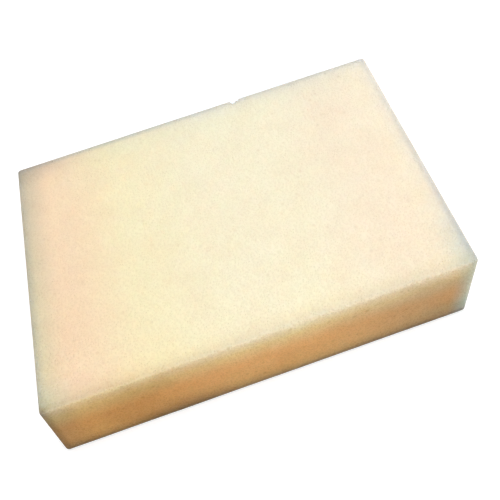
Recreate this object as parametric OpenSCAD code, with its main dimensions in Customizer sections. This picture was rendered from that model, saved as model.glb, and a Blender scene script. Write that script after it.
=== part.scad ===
// Cleaning sponge: one plain block of soft open-cell foam, sawn from a thick slab and a
// little out of square. Sizes are in millimetres. The origin is the middle of the box that
// holds the block, at the height of the underside. +X runs along the length, +Y points
// from the front to the back, and +Z points up.

/* [Block] */
// Length of the block over all, with what its ends lean and run out of square
block_length = 100; // [60:1:180]
// Width of the block, from the front to the back
block_width = 70; // [40:1:120]
// Thickness of the block, from the underside to the top face
block_thickness = 20; // [12:1:50]

/* [Saw cut] */
// How far the back of the block lies to the right of its front
out_of_square = 3.2; // [0:0.1:8]
// How far the top face lies to the right of the underside
end_lean = 1.2; // [0:0.1:4]

/* [Edges] */
// Radius of the edges round the top face, softened by handling
top_edge_radius = 1.2; // [0.4:0.1:4]
// Radius of the edges round the underside
bottom_edge_radius = 0.9; // [0.4:0.1:4]
// Radius of the four upright edges at the corners
upright_edge_radius = 0.9; // [0.4:0.1:8]

/* [Nick] */
// How far the nick in the back top edge lies to the right of the middle
nick_offset = 11.5; // [-24:0.5:24]
// Width of the nick, along the edge
nick_width = 2; // [0.6:0.1:4]
// Depth of the nick, square to the worn edge
nick_depth = 0.9; // [0.3:0.1:1.6]

/* [Hidden] */
$fn = 48;

foam_colour = [0.98, 0.92, 0.78];

// Length of each long edge of the block, from corner to corner
cut_length = block_length - out_of_square - end_lean;
// How far the two ends turn away from square, seen from above and seen from the front
turn_from_above = atan(out_of_square / block_width);
turn_from_front = atan(end_lean / block_thickness);
// Long enough to run right through the block in any direction
run_through = 2 * (block_length + block_width);

// Radius of the round cutter that takes out a nick of this width and depth
nick_radius = (pow(nick_width / 2, 2) + pow(nick_depth, 2)) / (2 * nick_depth);
// How far the rounding moves the edge in from the sharp corner, along the diagonal
worn_edge_inset = top_edge_radius * (sqrt(2) - 1);
// Where the cutter's axis passes the diagonal, counted outwards from the sharp corner
nick_axis_offset = nick_radius - nick_depth - worn_edge_inset;
// Where the nick lies, counted from the middle of the box that holds the block
nick_x = nick_offset + (out_of_square + end_lean) / 2;
// Long enough for the cutter to leave the block at the top face and at the back face
nick_cutter_length = 4 * (nick_depth + nick_radius + top_edge_radius);

// A rectangle that stands on the X axis and leans to the right by section_lean, with its
// own radius at the lower and the upper corners
module worn_section(section_width, section_height, section_lean, lower_radius, upper_radius) {
    slant = atan(section_lean / section_height);
    lower_inset = section_width / 2 - lower_radius / cos(slant);
    upper_inset = section_width / 2 - upper_radius / cos(slant);
    lower_shift = tan(slant) * (lower_radius - section_height / 2);
    upper_y = section_height - upper_radius;
    upper_shift = tan(slant) * (upper_y - section_height / 2);
    lower_reach = [lower_radius * cos(slant), -lower_radius * sin(slant)];
    upper_reach = [upper_radius * cos(slant), -upper_radius * sin(slant)];
    for (side = [-1, 1]) {
        translate([lower_shift + side * lower_inset, lower_radius])
            circle(r = lower_radius);
        translate([upper_shift + side * upper_inset, upper_y])
            circle(r = upper_radius);
    }
    polygon([
        [lower_shift - lower_inset, 0],
        [lower_shift + lower_inset, 0],
        [lower_shift + lower_inset, lower_radius] + lower_reach,
        [upper_shift + upper_inset, upper_y] + upper_reach,
        [upper_shift + upper_inset, section_height],
        [upper_shift - upper_inset, section_height],
        [upper_shift - upper_inset, upper_y] - upper_reach,
        [lower_shift - lower_inset, lower_radius] - lower_reach
    ]);
}

// The block seen along its four upright edges, run through from bottom to top
module bottom_to_top() {
    translate([0, 0, block_thickness / 2])
        rotate([0, turn_from_front, 0])
            linear_extrude(height = run_through, center = true)
                translate([0, -block_width / 2])
                    worn_section(
                        cut_length * cos(turn_from_front), block_width,
                        out_of_square * cos(turn_from_front),
                        upright_edge_radius, upright_edge_radius
                    );
}

// The block seen along the edges of its two ends, run through from front to back
module front_to_back() {
    rotate([0, 0, -turn_from_above])
        rotate([90, 0, 0])
            linear_extrude(height = run_through, center = true)
                worn_section(
                    cut_length * cos(turn_from_above), block_thickness,
                    end_lean * cos(turn_from_above),
                    bottom_edge_radius, top_edge_radius
                );
}

// The block seen from one end, along its long edges, run through from end to end
module end_to_end() {
    rotate([90, 0, 90])
        linear_extrude(height = run_through, center = true)
            worn_section(block_width, block_thickness, 0, bottom_edge_radius, top_edge_radius);
}

// A round cutter that lies across the back top edge, halfway between the two faces
module nick() {
    translate([nick_x, block_width / 2, block_thickness])
        rotate([-45, 0, 0])
            translate([0, 0, nick_axis_offset])
                rotate([90, 0, 0])
                    cylinder(h = nick_cutter_length, r = nick_radius, center = true);
}

module foam_block() {
    color(foam_colour)
        difference() {
            intersection() {
                bottom_to_top();
                front_to_back();
                end_to_end();
            }
            nick();
        }
}

foam_block();
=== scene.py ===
import math

import bmesh
import bpy
from mathutils import Matrix, Vector, noise


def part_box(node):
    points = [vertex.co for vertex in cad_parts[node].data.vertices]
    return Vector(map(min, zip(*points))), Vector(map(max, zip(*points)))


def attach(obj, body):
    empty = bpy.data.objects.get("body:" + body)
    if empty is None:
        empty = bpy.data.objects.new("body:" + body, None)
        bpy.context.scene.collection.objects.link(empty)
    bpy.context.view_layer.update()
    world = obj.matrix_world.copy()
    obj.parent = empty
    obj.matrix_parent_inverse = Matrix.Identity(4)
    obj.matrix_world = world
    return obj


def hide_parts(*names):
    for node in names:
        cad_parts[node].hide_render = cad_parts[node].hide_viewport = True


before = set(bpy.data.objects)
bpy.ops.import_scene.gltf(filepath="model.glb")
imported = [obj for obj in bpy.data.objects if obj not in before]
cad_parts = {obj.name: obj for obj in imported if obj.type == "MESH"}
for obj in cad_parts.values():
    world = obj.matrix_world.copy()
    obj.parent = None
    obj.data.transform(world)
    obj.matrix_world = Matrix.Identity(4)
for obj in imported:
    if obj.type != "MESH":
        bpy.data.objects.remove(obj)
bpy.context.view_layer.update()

# The sponge is one block of fine open-cell foam, sawn from a thick slab a little out of
# square: its back and top lie further right than its front and underside. Its edges are
# softened by handling, and a crumb is torn out of the back top edge.
MM = 0.001
block_low, block_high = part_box("foam_block")
block_size = block_high - block_low
block_middle = (block_low + block_high) / 2
out_of_square = 3.2 * MM
end_lean = 1.2 * MM
worn_corners = 0.2 * MM
cut_size = block_size + Vector((worn_corners - out_of_square - end_lean, 0, 0))
cut_low = block_middle - cut_size / 2
cut_high = block_middle + cut_size / 2
drift_with_depth = out_of_square / cut_size.y
drift_with_height = end_lean / cut_size.z
edge_round = 0.9 * MM
edge_segments = 3
grid_step = 0.5 * MM

# Each bite of the nick, by its place along the edge and its radius.
nick_bites = ((10.9 * MM, 0.9 * MM), (12.0 * MM, 0.55 * MM))
nick_inset = 0.35 * MM
nick_reach = 2.6 * MM
nick_cuts = 3
nick_ragged = 0.35
nick_crumb = 0.4 * MM

saw_wave = 0.06 * MM
saw_wave_length = 14 * MM
cell_grain = 0.035 * MM
cell_grain_length = 1.1 * MM


def cut_across(form, axis, step):
    """Divide every long edge that runs along one axis into pieces of about that step."""
    long_edges = [
        edge for edge in form.edges
        if abs((edge.verts[1].co - edge.verts[0].co)[axis]) > cut_size[axis] / 2
    ]
    cuts = round(cut_size[axis] / step) - 1
    bmesh.ops.subdivide_edges(form, edges=long_edges, cuts=cuts)


def tear_nick(form):
    """Divide the faces round the nick finely, and push what each bite takes out back to its wall."""
    outwards = Vector((0, 1, 1)).normalized()
    corner = Vector((nick_bites[0][0], cut_high.y, cut_high.z))
    near = [
        edge for edge in form.edges
        if all((vert.co - corner).length < nick_reach for vert in edge.verts)
    ]
    bmesh.ops.subdivide_edges(form, edges=near, cuts=nick_cuts, use_grid_fill=True)
    for bite_x, bite_radius in nick_bites:
        middle = Vector((bite_x, cut_high.y, cut_high.z)) - outwards * nick_inset
        for vert in form.verts:
            offset = vert.co - middle
            ragged = 1 + nick_ragged * noise.noise(vert.co / nick_crumb)
            above = offset.dot(outwards)
            across = bite_radius * ragged
            if offset.length < nick_reach and offset.x ** 2 + above ** 2 < across ** 2:
                vert.co -= outwards * (above + math.sqrt(across ** 2 - offset.x ** 2))


def uneven(place):
    """Smooth unevenness at a place, from 0 to 1."""
    return 0.5 + 0.5 * noise.noise(place)


def roughen(form):
    """Sink each point a little, so that the sawn faces are not quite true. Nothing stands proud."""
    form.normal_update()
    moves = []
    for vert in form.verts:
        wave = saw_wave * uneven(vert.co / saw_wave_length)
        grain = cell_grain * uneven(vert.co / cell_grain_length)
        moves.append(-vert.normal * (wave + grain))
    for vert, move in zip(form.verts, moves):
        vert.co += move


def lean_over(form):
    """Move the back and the top to the right by as much as the saw ran out of square."""
    lean = Matrix.Identity(4)
    lean[0][1] = drift_with_depth
    lean[0][2] = drift_with_height
    lean[0][3] = -drift_with_height * block_middle.z
    bmesh.ops.transform(form, matrix=lean, verts=form.verts)


def make_block():
    """Cut the block, wear it and lean it over, and lay it in the scene."""
    form = bmesh.new()
    bmesh.ops.create_cube(form, size=1)
    bmesh.ops.scale(form, vec=cut_size, verts=form.verts)
    bmesh.ops.translate(form, vec=block_middle, verts=form.verts)
    bmesh.ops.bevel(
        form, geom=form.edges[:], offset=edge_round, offset_type="OFFSET", affect="EDGES",
        segments=edge_segments, profile=0.5, material=-1,
    )
    for axis in range(3):
        cut_across(form, axis, grid_step)
    tear_nick(form)
    roughen(form)
    lean_over(form)
    for face in form.faces:
        face.smooth = True
    mesh = bpy.data.meshes.new("sponge_foam")
    form.to_mesh(mesh)
    form.free()
    piece = bpy.data.objects.new("sponge_foam", mesh)
    bpy.context.scene.collection.objects.link(piece)
    return piece


def add_node(tree, kind, **inputs):
    """A new node, with the given values or links on its inputs."""
    made = tree.nodes.new(kind)
    for name, value in inputs.items():
        join(tree, value, made.inputs[name.replace("_", " ")])
    return made


def join(tree, value, socket):
    """Put a plain value or a link on a socket."""
    if isinstance(value, bpy.types.NodeSocket):
        tree.links.new(value, socket)
    else:
        socket.default_value = value


def maths(tree, operation, first, second=0.0):
    """One step of arithmetic on links or plain numbers."""
    step = tree.nodes.new("ShaderNodeMath")
    step.operation = operation
    join(tree, first, step.inputs[0])
    join(tree, second, step.inputs[1])
    return step.outputs[0]


def ramp(tree, value, start, end, first=0.0, last=1.0):
    """A smooth change from first to last as the value goes from start to end."""
    change = add_node(
        tree, "ShaderNodeMapRange", Value=value,
        From_Min=start, From_Max=end, To_Min=first, To_Max=last,
    )
    change.interpolation_type = "SMOOTHSTEP"
    return change.outputs["Result"]


def mix_colour(tree, share, first, second, blend="MIX"):
    """The first colour, with the second mixed in or multiplied in as far as the share says."""
    mixed = tree.nodes.new("ShaderNodeMix")
    mixed.data_type = "RGBA"
    mixed.blend_type = blend
    for value, socket in ((share, "Factor_Float"), (first, "A_Color"), (second, "B_Color")):
        join(tree, value, next(one for one in mixed.inputs if one.identifier == socket))
    return next(one for one in mixed.outputs if one.identifier == "Result_Color")


def tint(tree, share, colour, by):
    """The colour, multiplied by another one as far as the share says."""
    return mix_colour(tree, share, colour, by, blend="MULTIPLY")


def new_group(name, inputs, outputs):
    """An empty shader node group with these sockets, and the nodes at its two ends."""
    group = bpy.data.node_groups.new(name, "ShaderNodeTree")
    for socket, kind in inputs.items():
        group.interface.new_socket(socket, in_out="INPUT", socket_type=kind)
    for socket, kind in outputs.items():
        group.interface.new_socket(socket, in_out="OUTPUT", socket_type=kind)
    return group, group.nodes.new("NodeGroupInput"), group.nodes.new("NodeGroupOutput")


def place_group(tree, group, **inputs):
    """The group as one node of a material, with its own values."""
    placed = tree.nodes.new("ShaderNodeGroup")
    placed.node_tree = group
    for name, value in inputs.items():
        join(tree, value, placed.inputs[name])
    return placed.outputs


def square_place(tree, place):
    """Where each point would lie if the block were cut true, so that the painted shade follows its
    edges.
    """
    at = add_node(tree, "ShaderNodeSeparateXYZ", Vector=place).outputs
    drift = maths(tree, "MULTIPLY", at["Y"], drift_with_depth)
    height = maths(tree, "SUBTRACT", at["Z"], block_middle.z)
    drift = maths(tree, "ADD", drift, maths(tree, "MULTIPLY", height, drift_with_height))
    along = maths(tree, "SUBTRACT", at["X"], drift)
    return add_node(tree, "ShaderNodeCombineXYZ", X=along, Y=at["Y"], Z=at["Z"]).outputs["Vector"]


def near_faces_group():
    """How near a place is to each face of the block: 1 on the face, 0 from Width inwards."""
    faces = (("Left", "Right"), ("Front", "Back"), ("Underside", "Top"))
    group, given, result = new_group(
        "near_faces",
        {"Place": "NodeSocketVector", "Width": "NodeSocketFloat"},
        {face: "NodeSocketFloat" for pair in faces for face in pair},
    )
    at = add_node(group, "ShaderNodeSeparateXYZ", Vector=given.outputs["Place"])
    for axis, (low_face, high_face) in enumerate(faces):
        from_low = maths(group, "SUBTRACT", at.outputs[axis], cut_low[axis])
        from_high = maths(group, "SUBTRACT", cut_high[axis], at.outputs[axis])
        for face, depth in ((low_face, from_low), (high_face, from_high)):
            share = maths(group, "DIVIDE", depth, given.outputs["Width"])
            join(group, ramp(group, share, 1.0, 0.0), result.inputs[face])
    return group


# How far from the middle of a cell its wall stands and its hollow is deepest, in cells.
cell_wall = 0.7
cell_middle = 0.2


def foam_cells_group():
    """Cells cut open by the saw. Pit is 0 on the walls and 1 in the deepest open cells."""
    group, given, result = new_group(
        "foam_cells",
        {"Place": "NodeSocketVector", "Cell": "NodeSocketFloat", "Closed": "NodeSocketFloat"},
        {"Pit": "NodeSocketFloat"},
    )
    scale = maths(group, "DIVIDE", 1.0, given.outputs["Cell"])
    cells = add_node(
        group, "ShaderNodeTexVoronoi",
        Vector=given.outputs["Place"], Scale=scale, Randomness=1.0,
    )
    hollow = ramp(group, cells.outputs["Distance"], cell_wall, cell_middle)
    by_chance = add_node(group, "ShaderNodeSeparateColor", Color=cells.outputs["Color"])
    opened = add_node(
        group, "ShaderNodeMapRange", Value=by_chance.outputs[0],
        From_Min=given.outputs["Closed"], From_Max=1.0,
    )
    pit = maths(group, "MULTIPLY", hollow, opened.outputs["Result"])
    join(group, pit, result.inputs["Pit"])
    return group


# The broad faces are cream. Painted shade yellows and reddens them towards the left end, and
# painted light greys them a little towards the right end.
cream = (1.0, 0.865, 0.655, 1)
shade_yellow = (1.0, 0.975, 0.85, 1)
shade_yellow_from = 5 * MM
shade_yellow_to = -33 * MM
shade_red = (1.0, 0.87, 0.93, 1)
shade_red_from = -20 * MM
shade_red_to = -40 * MM
lit_grey = (0.95, 0.95, 0.99, 1)
lit_grey_from = 12 * MM
lit_grey_to = 36 * MM


def broad_face(tree, at):
    """The colour of the top face and the underside, with its painted light and shade, before the
    painted shade along the edges.
    """
    colour = tint(tree, ramp(tree, at["X"], shade_yellow_from, shade_yellow_to), cream, shade_yellow)
    colour = tint(tree, ramp(tree, at["X"], shade_red_from, shade_red_to), colour, shade_red)
    return tint(tree, ramp(tree, at["X"], lit_grey_from, lit_grey_to), colour, lit_grey)


# The sawn sides are pale just under the top face, yellower a little lower and tan below: partly the
# sides' own deeper colour, partly painted light bleeding down from the lit top and painted shade
# lower down. The two long ones have painted shade, browner towards the left end, and painted
# light, greyer towards the right end.
sawn_pale = (0.99, 0.80, 0.55, 1)
sawn_yellow = (0.99, 0.75, 0.36, 1)
sawn_tan = (0.99, 0.52, 0.19, 1)
yellow_from = 0.5 * MM
yellow_to = 4.5 * MM
tan_from = 2.5 * MM
tan_to = 10 * MM
left_end = (0.79, 0.74, 0.60, 1)
left_end_from = 2 * MM
left_end_to = -32 * MM
right_end = (0.73, 0.80, 0.94, 1)
right_end_from = 6 * MM
right_end_to = 38 * MM
right_end_depth = 7 * MM
right_end_least = 0.3
blotch = (0.92, 0.90, 0.87, 1)
blotch_length = 10 * MM
blotch_height = 7 * MM
blotch_detail = 2.0
blotch_from = 0.45
blotch_to = 0.7


def sawn_face(tree, place, at, facing):
    """The colour of the four sawn sides, with its painted light and shade, before the painted shade
    along the edges.
    """
    depth = maths(tree, "SUBTRACT", cut_high.z, at["Z"])
    colour = mix_colour(tree, ramp(tree, depth, yellow_from, yellow_to), sawn_pale, sawn_yellow)
    colour = mix_colour(tree, ramp(tree, depth, tan_from, tan_to), colour, sawn_tan)
    long_side = maths(tree, "ABSOLUTE", facing["Y"])
    to_left = maths(tree, "MULTIPLY", ramp(tree, at["X"], left_end_from, left_end_to), long_side)
    to_right = maths(tree, "MULTIPLY", ramp(tree, at["X"], right_end_from, right_end_to), long_side)
    with_depth = ramp(tree, depth, 0.0, right_end_depth, right_end_least, 1.0)
    to_right = maths(tree, "MULTIPLY", to_right, with_depth)
    colour = tint(tree, to_left, colour, left_end)
    colour = tint(tree, to_right, colour, right_end)
    drawn_out = add_node(
        tree, "ShaderNodeMapping", Vector=place,
        Scale=(1 / blotch_length, 1 / blotch_length, 1 / blotch_height),
    )
    blotches = add_node(
        tree, "ShaderNodeTexNoise",
        Vector=drawn_out.outputs["Vector"], Scale=1.0, Detail=blotch_detail,
    )
    return tint(tree, ramp(tree, blotches.outputs["Fac"], blotch_from, blotch_to), colour, blotch)


# Painted shade darkens the block along its edges and at its corners, and along the foot of the
# sawn sides; a painted highlight makes the right upright edge at the front pale. The first
# four values say how far the painted shade reaches in from a face.
far = 22 * MM
wide = 9 * MM
close = 5.5 * MM
thin = 2.6 * MM
edge_shade_left = (0.78, 0.92, 0.87, 1)
edge_shade_right = (0.88, 0.90, 0.97, 1)
edge_shade_front = (0.90, 0.88, 0.82, 1)
edge_shade_back = (0.99, 0.97, 0.99, 1)
front_edge_shade = (0.86, 0.80, 0.74, 1)
front_edge_shade_least = 0.35
shaded_left = (0.85, 0.83, 0.90, 1)
shaded_from = -20 * MM
shaded_to = 30 * MM
corner_back = (0.68, 0.72, 0.78, 1)
corner_left = (0.80, 0.91, 1.0, 1)
corner_right = (0.72, 0.87, 0.95, 1)
upright_shade = (0.70, 0.78, 0.95, 1)
underside_shade = (0.72, 0.70, 0.76, 1)
low_right = (0.62, 0.86, 1.0, 1)
low_right_strength = 1.3
low_front_shade = (0.57, 0.59, 0.63, 1)
low_front_shade_middle = -19 * MM
low_front_shade_reach = 19 * MM
painted_edge_light = (0.50, 0.54, 0.44, 1)
# The thin dark lines round the top face, round the underside and up the left front edge are painted
# shade.
line_above = (0.58, 0.62, 0.68, 1)
back_line_from = 20 * MM
back_line_to = -25 * MM
back_line_least = 0.3
right_line_from = 25 * MM
right_line_to = -20 * MM
right_line_least = 0.4
left_line_share = 0.4
line_below = (0.38, 0.42, 0.46, 1)
line_upright = (0.40, 0.37, 0.34, 1)


def shade_broad_face(tree, colour, at, by_far, by_wide, by_close, by_thin):
    """Painted shade on the top face and the underside, along their edges and in their corners."""
    for share, painted_shade in (
        (by_wide["Left"], edge_shade_left),
        (by_close["Right"], edge_shade_right),
        (by_close["Front"], edge_shade_front),
        (by_close["Back"], edge_shade_back),
        (maths(tree, "MULTIPLY", by_far["Left"], by_wide["Back"]), corner_back),
        (maths(tree, "MULTIPLY", by_far["Left"], by_wide["Front"]), corner_left),
        (maths(tree, "MULTIPLY", by_far["Front"], by_wide["Right"]), corner_right),
    ):
        colour = tint(tree, share, colour, painted_shade)
    towards_left = ramp(tree, at["X"], shade_yellow_from, shade_yellow_to, front_edge_shade_least, 1.0)
    at_front_left = maths(tree, "MULTIPLY", by_thin["Front"], towards_left)
    colour = tint(tree, at_front_left, colour, front_edge_shade)
    towards_back = ramp(tree, at["Y"], shaded_from, shaded_to)
    return tint(tree, maths(tree, "MULTIPLY", by_wide["Left"], towards_back), colour, shaded_left)


def shade_sawn_face(tree, colour, at, by_far, by_wide, by_close):
    """Painted shade on the sawn sides, up their left corners, along their foot and low at the front,
    and a painted highlight on the right upright edge at the front.
    """
    # Painted shade up the left upright edges.
    front_or_back = maths(tree, "MAXIMUM", by_wide["Front"], by_wide["Back"])
    left_uprights = maths(tree, "MULTIPLY", by_wide["Left"], front_or_back)
    colour = tint(tree, left_uprights, colour, upright_shade)
    right_upright = maths(tree, "MULTIPLY", by_close["Right"], by_close["Front"])
    # Painted highlight: the right upright edge at the front is made pale.
    colour = mix_colour(tree, right_upright, colour, painted_edge_light)
    # Painted shade along the foot of the sawn sides.
    colour = tint(tree, by_close["Underside"], colour, underside_shade)
    # Painted shade, greyer, low at the right end of the front.
    at_right = maths(tree, "MULTIPLY", by_far["Right"], by_close["Front"])
    above_foot = maths(tree, "SUBTRACT", by_wide["Underside"], by_close["Underside"])
    above_foot = maths(tree, "MULTIPLY", above_foot, low_right_strength)
    colour = tint(tree, maths(tree, "MULTIPLY", at_right, above_foot), colour, low_right)
    # Painted shade low on the front, round a place left of the middle.
    along = maths(tree, "ABSOLUTE", maths(tree, "SUBTRACT", at["X"], low_front_shade_middle))
    low_in_front = maths(tree, "MULTIPLY", by_wide["Underside"], by_close["Front"])
    low_front_shaded = maths(tree, "MULTIPLY", low_in_front, ramp(tree, along, low_front_shade_reach, 0.0))
    return tint(tree, low_front_shaded, colour, low_front_shade)


def shade_lines(tree, colour, at, by_thin):
    """The darkest painted shade, in a thin line round the top face, round the underside and up one
    edge.
    """
    to_left = ramp(tree, at["X"], back_line_from, back_line_to, back_line_least, 1.0)
    to_front = ramp(tree, at["Y"], right_line_from, right_line_to, right_line_least, 1.0)
    back_line = maths(tree, "MULTIPLY", by_thin["Back"], to_left)
    right_line = maths(tree, "MULTIPLY", by_thin["Right"], to_front)
    left_line = maths(tree, "MULTIPLY", by_thin["Left"], left_line_share)
    three_sides = maths(tree, "MAXIMUM", maths(tree, "MAXIMUM", back_line, right_line), left_line)
    above = maths(tree, "MULTIPLY", by_thin["Top"], three_sides)
    ends = maths(tree, "MAXIMUM", by_thin["Left"], by_thin["Right"])
    long_sides = maths(tree, "MAXIMUM", by_thin["Front"], by_thin["Back"])
    below = maths(tree, "MULTIPLY", by_thin["Underside"], maths(tree, "MAXIMUM", ends, long_sides))
    upright = maths(tree, "MULTIPLY", by_thin["Left"], by_thin["Front"])
    upright = maths(tree, "MULTIPLY", upright, maths(tree, "SUBTRACT", 1.0, by_thin["Underside"]))
    colour = tint(tree, above, colour, line_above)
    colour = tint(tree, upright, colour, line_upright)
    return tint(tree, below, colour, line_below)


# The saw has cut the foam's cells open. Most are fine, and a few are blown larger. They
# show less on the broad faces, which wiping has closed up.
fine_cell = 0.45 * MM
fine_closed = -1.0
fine_share = 0.8
blown_cell = 0.95 * MM
blown_closed = 0.88
pit_on_broad = 0.38
pit_on_sawn = 0.95
# The open cells' darker colour is painted shade in their hollows.
pit_shade = (0.80, 0.74, 0.66, 1)
pit_depth = 0.25 * MM
wall_roughness = 0.85
pit_roughness = 1.0
cloud = (0.975, 0.97, 0.96, 1)
cloud_length = 9 * MM
cloud_detail = 3.0
cloud_from = 0.35
cloud_to = 0.7
foam_specular = 0.3
light_reach = 12 * MM
light_reach_by_colour = (1.0, 0.8, 0.6)

# How far upwards a surface faces, from 0 on an upright side to 1 on a level face, where
# the broad faces end and the sawn sides begin, in colour and in open cells.
broad_colour_ends = 0.98
sawn_colour_begins = 0.45
broad_cells_end = 0.95
sawn_cells_begin = 0.3


def foam_material():
    """The foam's colour, its open cells, and how deep light goes into it."""
    material = bpy.data.materials.new("foam")
    material.use_nodes = True
    tree = material.node_tree
    shader = tree.nodes["Principled BSDF"]
    coordinates = tree.nodes.new("ShaderNodeTexCoord").outputs
    place = square_place(tree, coordinates["Object"])
    at = add_node(tree, "ShaderNodeSeparateXYZ", Vector=place).outputs
    facing = add_node(tree, "ShaderNodeSeparateXYZ", Vector=coordinates["Normal"]).outputs

    near_faces = near_faces_group()
    by_far, by_wide, by_close, by_thin = (
        place_group(tree, near_faces, Place=place, Width=width)
        for width in (far, wide, close, thin)
    )
    broad = broad_face(tree, at)
    broad = shade_broad_face(tree, broad, at, by_far, by_wide, by_close, by_thin)
    sawn = sawn_face(tree, place, at, facing)
    sawn = shade_sawn_face(tree, sawn, at, by_far, by_wide, by_close)
    upwards = maths(tree, "ABSOLUTE", facing["Z"])
    is_sawn = ramp(tree, upwards, broad_colour_ends, sawn_colour_begins)
    colour = mix_colour(tree, is_sawn, broad, sawn)
    colour = shade_lines(tree, colour, at, by_thin)

    foam_cells = foam_cells_group()
    fine = place_group(tree, foam_cells, Place=place, Cell=fine_cell, Closed=fine_closed)["Pit"]
    blown = place_group(tree, foam_cells, Place=place, Cell=blown_cell, Closed=blown_closed)["Pit"]
    pits = maths(tree, "MAXIMUM", maths(tree, "MULTIPLY", fine, fine_share), blown)
    clouds = add_node(
        tree, "ShaderNodeTexNoise",
        Vector=place, Scale=1 / cloud_length, Detail=cloud_detail,
    )
    colour = tint(tree, ramp(tree, clouds.outputs["Fac"], cloud_from, cloud_to), colour, cloud)
    pit_share = ramp(
        tree, upwards, broad_cells_end, sawn_cells_begin, pit_on_broad, pit_on_sawn,
    )
    colour = tint(tree, maths(tree, "MULTIPLY", pits, pit_share), colour, pit_shade)
    join(tree, colour, shader.inputs["Base Color"])

    roughness = ramp(tree, pits, 0.0, 1.0, wall_roughness, pit_roughness)
    join(tree, roughness, shader.inputs["Roughness"])
    bump = add_node(
        tree, "ShaderNodeBump", Height=maths(tree, "SUBTRACT", 1.0, pits),
        Strength=1.0, Distance=pit_depth,
    )
    join(tree, bump.outputs["Normal"], shader.inputs["Normal"])
    shader.inputs["Specular IOR Level"].default_value = foam_specular
    shader.inputs["Subsurface Weight"].default_value = 1
    shader.inputs["Subsurface Radius"].default_value = light_reach_by_colour
    shader.inputs["Subsurface Scale"].default_value = light_reach
    return material


foam = make_block()
foam.data.materials.append(foam_material())
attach(foam, "root")
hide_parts("foam_block")

# The block lies on a plain pale table under three soft studio lamps: overhead, at the
# right and in front. The camera sees the table and what lies past it as white.
frame_px = 500
focal_px = 719.0
sensor_mm = 36
camera_azimuth = math.radians(-6.13)
camera_elevation = math.radians(53.5)
camera_roll = math.radians(-13.96)
camera_distance = 184.43 * MM
camera_target = Vector((4.41 * MM, 1.31 * MM, 0))


def make_camera():
    """A camera that looks down on the block from in front, turned a little on its axis."""
    back = Vector((
        math.sin(camera_azimuth) * math.cos(camera_elevation),
        -math.cos(camera_azimuth) * math.cos(camera_elevation),
        math.sin(camera_elevation),
    ))
    level = Vector((math.cos(camera_azimuth), math.sin(camera_azimuth), 0))
    upward = back.cross(level)
    right = level * math.cos(camera_roll) + upward * math.sin(camera_roll)
    up = upward * math.cos(camera_roll) - level * math.sin(camera_roll)
    lens = bpy.data.cameras.new("camera")
    lens.sensor_width = sensor_mm
    lens.lens = focal_px / frame_px * sensor_mm
    lens.clip_start = 1 * MM
    camera = bpy.data.objects.new("camera", lens)
    turn = Matrix((right, up, back)).transposed()
    camera.matrix_world = Matrix.Translation(camera_target + back * camera_distance) @ turn.to_4x4()
    bpy.context.scene.collection.objects.link(camera)
    bpy.context.scene.camera = camera


lamp_size = 0.5
lamps = (
    ("overhead", Vector((0, 0, 0.9)), 5.05),
    ("right", Vector((0.75, 0, 0.5)), 3.45),
    ("front", Vector((0, -0.75, 0.5)), 2.85),
)


def make_lamp(name, place, power):
    """A square soft light that faces the middle of the block."""
    light = bpy.data.lights.new(name, "AREA")
    light.shape = "SQUARE"
    light.size = lamp_size
    light.energy = power
    lamp = bpy.data.objects.new(name, light)
    lamp.location = place
    lamp.rotation_euler = (block_middle - place).to_track_quat("-Z", "Y").to_euler()
    bpy.context.scene.collection.objects.link(lamp)


white = (1, 1, 1, 1)
table_reach = 4
table_grey = (0.55, 0.55, 0.55, 1)
table_lift = 0.6
table_far_lift = 1.0
shadow_reach = 0.12
far_reach = 0.45
room_light = 0.15


def seen_directly(tree):
    """1 for what the camera sees straight, mirrored or through glass, and 0 for light on things."""
    path = tree.nodes.new("ShaderNodeLightPath").outputs
    bent = maths(tree, "MAXIMUM", path["Is Glossy Ray"], path["Is Transmission Ray"])
    return maths(tree, "MAXIMUM", path["Is Camera Ray"], bent)


def make_table():
    """A wide level top that takes the block's shadow and looks white to the camera."""
    form = bmesh.new()
    bmesh.ops.create_grid(form, x_segments=1, y_segments=1, size=table_reach)
    mesh = bpy.data.meshes.new("table")
    form.to_mesh(mesh)
    form.free()
    table = bpy.data.objects.new("table", mesh)
    bpy.context.scene.collection.objects.link(table)
    material = bpy.data.materials.new("table")
    material.use_nodes = True
    tree = material.node_tree
    shader = tree.nodes["Principled BSDF"]
    shader.inputs["Base Color"].default_value = table_grey
    shader.inputs["Roughness"].default_value = 1
    shader.inputs["Specular IOR Level"].default_value = 0
    shader.inputs["Emission Color"].default_value = white
    place = tree.nodes.new("ShaderNodeTexCoord").outputs["Object"]
    away = add_node(tree, "ShaderNodeVectorMath", Vector=place)
    away.operation = "LENGTH"
    whiteness = ramp(tree, away.outputs["Value"], shadow_reach, far_reach, table_lift, table_far_lift)
    lift = maths(tree, "MULTIPLY", seen_directly(tree), whiteness)
    join(tree, lift, shader.inputs["Emission Strength"])
    mesh.materials.append(material)


def make_world():
    """A room that lights the block faintly from all round and looks white to the camera."""
    world = bpy.data.worlds.new("studio")
    bpy.context.scene.world = world
    world.use_nodes = True
    tree = world.node_tree
    tree.nodes.clear()
    around = add_node(tree, "ShaderNodeBackground", Color=white, Strength=room_light)
    backdrop = add_node(tree, "ShaderNodeBackground", Color=white, Strength=1)
    both = tree.nodes.new("ShaderNodeMixShader")
    join(tree, seen_directly(tree), both.inputs[0])
    tree.links.new(around.outputs[0], both.inputs[1])
    tree.links.new(backdrop.outputs[0], both.inputs[2])
    out = tree.nodes.new("ShaderNodeOutputWorld")
    tree.links.new(both.outputs[0], out.inputs[0])


make_camera()
make_table()
make_world()
for lamp_name, lamp_place, lamp_power in lamps:
    make_lamp(lamp_name, lamp_place, lamp_power)
bpy.context.scene.view_settings.view_transform = "Standard"
